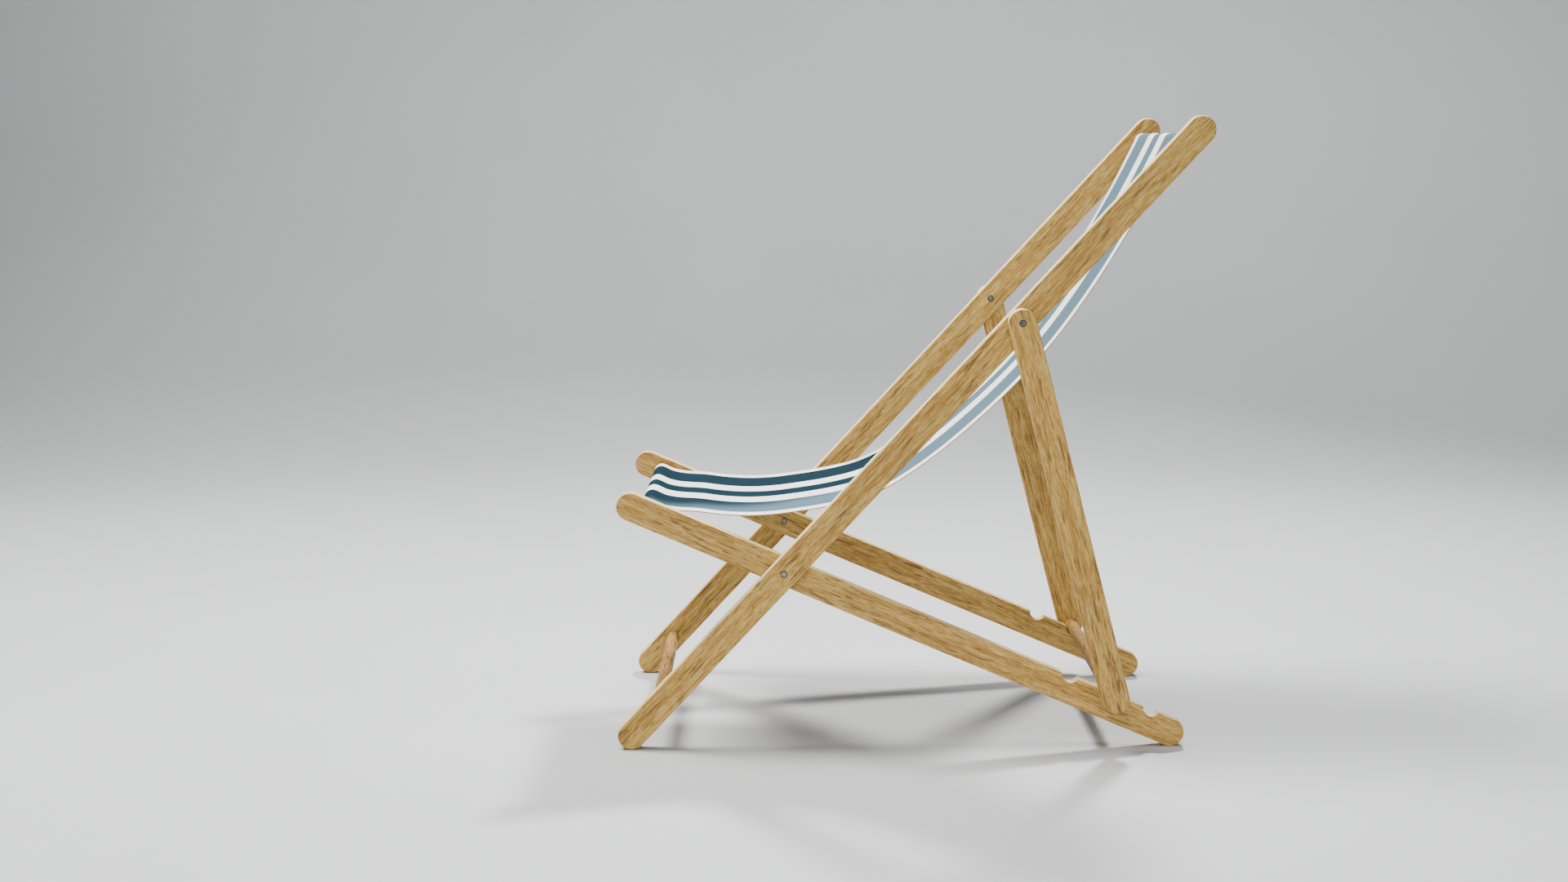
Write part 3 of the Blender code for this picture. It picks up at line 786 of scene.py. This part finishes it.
thicken = sling.modifiers.new("thickness", "SOLIDIFY")
thicken.thickness = 2 * CANVAS
thicken.offset = -1.0
thicken.vertex_group = "hemmed"
thicken.thickness_vertex_group = 0.0
thicken.material_offset_rim = 1
sling.data.materials.append(canvas())
sling.data.materials.append(thread("tan canvas edge", TAN_EDGE))
bpy.ops.object.modifier_apply(modifier=thicken.name)
bpy.ops.object.shade_smooth_by_angle(angle=math.radians(50))

# The seams are lock-stitched in thread matched to the stripes: one row along each hem and
# two across each pocket, showing as short raised stitches on both faces of the canvas.
STITCH = 0.0029
STITCH_PITCH = 0.0042
STITCH_HALF_WIDTH = 0.00035
STITCH_HEIGHT = 0.0003
STITCH_SINK = 0.0001

stitches = bmesh.new()
thread_map = stitches.loops.layers.uv.new("UVMap")


def stitch(place, way, out, run):
    """One raised stitch lying along way, on the surface that faces out, run metres along the canvas."""
    before = len(stitches.faces)
    side = way.cross(out) * STITCH_HALF_WIDTH
    sunk = place - out * STITCH_SINK
    tips = [stitches.verts.new(sunk + way * STITCH * share) for share in (-0.5, 0.5)]
    rings = []
    for share in (-0.3, 0.3):
        spot = sunk + way * STITCH * share
        steps = (side, out * (STITCH_HEIGHT + STITCH_SINK), -side)
        rings.append([stitches.verts.new(spot + step) for step in steps])
    for i in range(3):
        j = (i + 1) % 3
        stitches.faces.new((rings[0][i], rings[0][j], rings[1][j], rings[1][i]))
        stitches.faces.new((tips[0], rings[0][j], rings[0][i]))
        stitches.faces.new((tips[1], rings[1][i], rings[1][j]))
    stitches.faces.ensure_lookup_table()
    for face in stitches.faces[before:]:
        for loop in face.loops:
            loop[thread_map].uv = ((loop.vert.co.x + half) / SLING_WIDTH, run / SLING_LENGTH)


def path_frame(run):
    """Where the canvas is this far from its front raw end, the way along it, and the way out of it."""
    i = 0
    while i < len(reach) - 2 and reach[i + 1] < run:
        i += 1
    share = (run - reach[i]) / (reach[i + 1] - reach[i])
    spot = path[i].lerp(path[i + 1], share)
    tangent = (path[i + 1] - path[i]).normalized()
    return spot, Vector((0, tangent.x, tangent.y)), Vector((0, -tangent.y, tangent.x))


seam_row = half - HEM + 0.002
for n in range(int((SLING_LENGTH - 0.002) / STITCH_PITCH)):
    run = 0.003 + n * STITCH_PITCH
    spot, way, out = path_frame(run)
    for x in (-seam_row, seam_row):
        stitch(Vector((x, spot.x, spot.y)), way, out, run)
        stitch(Vector((x, spot.x, spot.y)) - out * 2 * CANVAS, way, -out, run)
across_way = Vector((1, 0, 0))
for run in (0.003, 0.010, SLING_LENGTH - 0.003, SLING_LENGTH - 0.010):
    lap, _, lap_out = path_frame(run)
    over = hung_at(lap.x - lap_out.y * LAYER_DROP * (1 if lap_out.y < 0 else -1))
    tangent = along_hung(over.x)
    over_out = Vector((0, -tangent.y, tangent.x))
    for n in range(int((SLING_WIDTH - 0.004) / STITCH_PITCH)):
        x = -half + 0.004 + n * STITCH_PITCH
        stitch(Vector((x, lap.x, lap.y)), across_way, lap_out, run)
        stitch(Vector((x, over.x, over.y)), across_way, over_out, run)
bmesh.ops.recalc_face_normals(stitches, faces=stitches.faces)
rows = bpy.data.meshes.new("sling_stitching")
stitches.to_mesh(rows)
stitches.free()
sling_stitching = bpy.data.objects.new("sling_stitching", rows)
bpy.context.scene.collection.objects.link(sling_stitching)
rows.materials.append(sling.data.materials[0])

for piece in (sling, sling_stitching):
    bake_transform(piece)
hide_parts("sling_seat", "sling_back")

# ---------------------------------------------------------------------------------------
# Studio. A pale grey floor that curves up into a backdrop, a small key light behind, broad
# ones above, to the front and by the camera, and a strip that washes the backdrop.
FLOOR_GREY = (0.52, 0.525, 0.53, 1)
PAPER_SIZE = (12.0, 18.0, 1.0)
BACK_EDGE = -5.9
BACKDROP_HEIGHT = 8.0
CURVE_RADIUS = 3.5
SKY_TINT = (0.95, 0.97, 1.0, 1)
SKY_STRENGTH = 0.48


def plain_paper():
    material, tree, shader = new_nodes("studio paper")
    place = add(tree, "ShaderNodeTexCoord", -700, 0)
    mottle = add(tree, "ShaderNodeTexNoise", -500, 0)
    mottle.inputs["Scale"].default_value = 1.5
    tree.links.new(place.outputs["Object"], mottle.inputs["Vector"])
    level = rescale(tree, -300, 0, mottle.outputs["Fac"], 0.3, 0.7, 0.97, 1.0)
    tint = add(tree, "ShaderNodeCombineColor", -150, 0)
    for socket in tint.inputs:
        tree.links.new(level, socket)
    paper = blend_colours(tree, 0, 0, 1.0, FLOOR_GREY, tint.outputs[0], "MULTIPLY")
    tree.links.new(paper, shader.inputs["Base Color"])
    shader.inputs["Roughness"].default_value = 0.85
    shader.location = (250, 0)
    return material


start_afresh()
bpy.ops.mesh.primitive_plane_add(size=1.0, location=(0, 0, 0))
floor = bpy.context.object
floor.name = "studio_floor"
bpy.ops.object.mode_set(mode="EDIT")
bpy.ops.transform.resize(value=PAPER_SIZE)
mesh = bmesh.from_edit_mesh(floor.data)
for edge in mesh.edges:
    edge.select = all(vertex.co.x < BACK_EDGE for vertex in edge.verts)
for vertex in mesh.verts:
    vertex.select = vertex.co.x < BACK_EDGE
mesh.select_flush_mode()
bmesh.update_edit_mesh(floor.data)
bpy.ops.mesh.extrude_region_move(TRANSFORM_OT_translate={"value": (0, 0, BACKDROP_HEIGHT)})
mesh = bmesh.from_edit_mesh(floor.data)
for edge in mesh.edges:
    edge.select = all(vertex.co.x < BACK_EDGE and vertex.co.z < 0.01 for vertex in edge.verts)
bmesh.update_edit_mesh(floor.data)
bpy.ops.mesh.bevel(offset=CURVE_RADIUS, segments=32, profile=0.5)
bpy.ops.object.mode_set(mode="OBJECT")
bpy.ops.object.transform_apply(location=True, rotation=True, scale=True)
floor.data.materials.append(plain_paper())
bpy.ops.object.shade_smooth()


def soft_light(name, place, target, size, power, spread):
    start_afresh()
    bpy.ops.object.light_add(type="AREA", location=place)
    light = bpy.context.object
    light.name = name
    light.rotation_euler = (Vector(target) - Vector(place)).to_track_quat("-Z", "Y").to_euler()
    light.data.size = size
    light.data.energy = power
    light.data.spread = math.radians(spread)


soft_light("light_behind", (-2.7, 0.85, 3.5), (0.7, -0.2, 0.1), 0.5, 128, 120)
soft_light("light_above", (0.2, 0.0, 4.6), (0.2, 0, 0.0), 3.0, 85, 180)
soft_light("light_front", (-0.4, -2.1, 4.1), (0.2, 0.0, 0.2), 1.7, 236, 140)
soft_light("light_camera_side", (4.4, -0.4, 2.4), (0, 0, 0.4), 3.0, 105, 180)
soft_light("light_backdrop", (-3.2, 0.0, 3.2), (-5.2, 0, 1.6), 1.2, 50, 120)
bpy.context.object.data.shape = "RECTANGLE"
bpy.context.object.data.size = 6.0
bpy.context.object.data.size_y = 1.2
world = bpy.context.scene.world or bpy.data.worlds.new("studio")
bpy.context.scene.world = world
world.use_nodes = True
world.node_tree.nodes["Background"].inputs["Color"].default_value = SKY_TINT
world.node_tree.nodes["Background"].inputs["Strength"].default_value = SKY_STRENGTH

CAMERA_DISTANCE = 3.697
CAMERA_HEIGHT = 0.983
CAMERA_PITCH = 7.92
start_afresh()
bpy.ops.object.camera_add(
    location=(CAMERA_DISTANCE, MAIN_PIVOT.y, CAMERA_HEIGHT),
    rotation=(math.radians(90 - CAMERA_PITCH), 0, math.radians(90)),
)
camera = bpy.context.object
camera.data.lens = 50
camera.data.sensor_width = 36
bpy.context.scene.camera = camera
